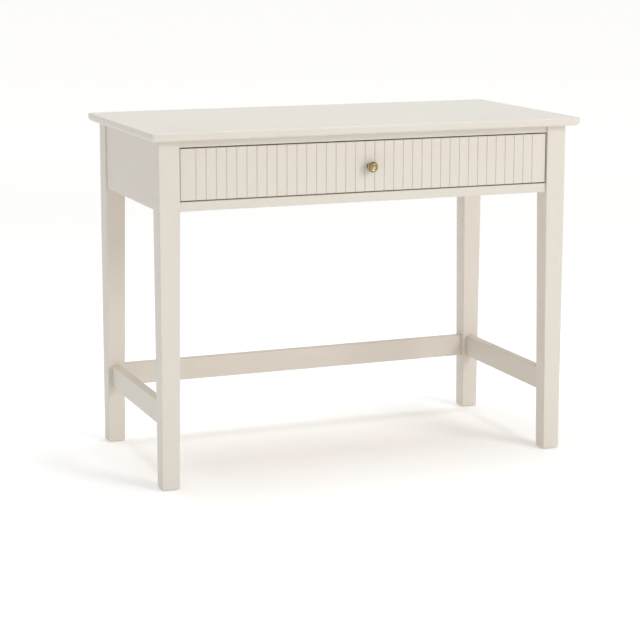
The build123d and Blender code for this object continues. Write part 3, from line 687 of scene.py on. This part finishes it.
# %% Pale floor
floor_reach = 40.0
glow_start, glow_end = 1.0, 7.0
near_glow, far_glow = shade(120, 121, 122), shade(178, 180, 181)
corners = [(-floor_reach, -floor_reach, 0), (floor_reach, -floor_reach, 0)]
corners += [(floor_reach, floor_reach, 0), (-floor_reach, floor_reach, 0)]
floor_mesh = bpy.data.meshes.new("floor")
floor_mesh.from_pydata(corners, [], [(0, 1, 2, 3)])
floor = bpy.data.objects.new("floor", floor_mesh)
bpy.context.scene.collection.objects.link(floor)

pale = Finish("pale_floor")
speckle = pale.noise(3.0, detail=4.0)
distance = pale.node("ShaderNodeVectorMath", {0: pale.place}, output="Value", operation="LENGTH")
glow = pale.blend(pale.smooth(distance, glow_start, glow_end), near_glow, far_glow)
card = pale.blend(speckle, shade(250, 250, 251), shade(247, 247, 248))
pale.surface(
    {"Base Color": card, "Emission Color": glow},
    Roughness=0.9,
    Specular_IOR_Level=0.0,
    Emission_Strength=1.0,
)
floor_mesh.materials.append(pale.material)
print("floor", 2 * floor_reach, "m wide")

# %% [markdown]
# ## The surround
# Light comes from every side in such a studio, more from the walls near the ground than from
# above. The surround's colour depends on how high a direction points, from 0 at the horizon to 1
# straight up: bright below wall_foot, and easing to a dimmer warm white at wall_head.

# %% Bright surround
wall_light = (0.96, 0.955, 0.94, 1.0)
ceiling_light = (0.56, 0.54, 0.51, 1.0)
wall_foot, wall_head = 0.04, 0.26
world = bpy.data.worlds.new("studio")
bpy.context.scene.world = world
world.use_nodes = True
sky = Nodes(world.node_tree, "Generated")
upward = sky.node("ShaderNodeSeparateXYZ", {0: sky.place}, output="Z")
background = world.node_tree.nodes["Background"]
surround = sky.blend(sky.smooth(upward, wall_foot, wall_head), wall_light, ceiling_light)
sky.feed(background.inputs["Color"], surround)
background.inputs["Strength"].default_value = 1.0
print("surround from", wall_light[:3], "to", ceiling_light[:3])

# %% [markdown]
# ## The lamps
# A large lamp in front to the right gives the front of the desk its light and soft shadows. A
# cooler one overhead lights the desktop, so that its colour parts from the front's.


# %% Two soft lamps
def soft_light(name, place, target, size, power, colour):
    """A square area light at a place, turned to look at a target."""
    light = bpy.data.lights.new(name, "AREA")
    light.shape = "SQUARE"
    light.size = size
    light.energy = power
    light.color = colour
    lamp = bpy.data.objects.new(name, light)
    bpy.context.scene.collection.objects.link(lamp)
    lamp.location = place
    away = Vector(place) - Vector(target)
    lamp.rotation_euler = away.to_track_quat("Z", "Y").to_euler()
    print(name, power, "W")


warm_white, cool_white = (1.0, 0.985, 0.96), (0.84, 0.93, 1.0)
desk_middle = (Vector(cad_box[0]) + Vector(cad_box[1])) / 2
soft_light("key", (3.6, -5.6, 3.5), desk_middle, 2.3, 164, warm_white)
soft_light("overhead", (0.0, 0.3, 3.6), desk_middle, 2.5, 66, cool_white)

# %% [markdown]
# ## The camera
# A long lens from the front left, a little above the desktop, keeps the upright legs almost
# parallel. The lens is shifted instead of tilted further, as is usual for furniture, so that the
# whole desk sits in the frame.

# %% Long lens from the front left
camera_turn = math.radians(-21.83)
camera_tilt = math.radians(-9.76)
camera_roll = math.radians(0.12)
camera_data = bpy.data.cameras.new("camera")
camera_data.lens = 106.05
camera_data.sensor_width = 36.0
camera_data.shift_y = -0.10
camera = bpy.data.objects.new("camera", camera_data)
camera.location = (-1.601, -3.926, 1.172)
camera.rotation_euler = (
    Matrix.Rotation(camera_turn, 3, "Z")
    @ Matrix.Rotation(math.pi / 2 + camera_tilt, 3, "X")
    @ Matrix.Rotation(camera_roll, 3, "Z")
).to_euler()
bpy.context.scene.collection.objects.link(camera)
bpy.context.scene.camera = camera
bpy.context.scene.view_settings.view_transform = "Standard"
print("lens", round(camera_data.lens, 1), "mm, shift", round(camera_data.shift_y, 2))
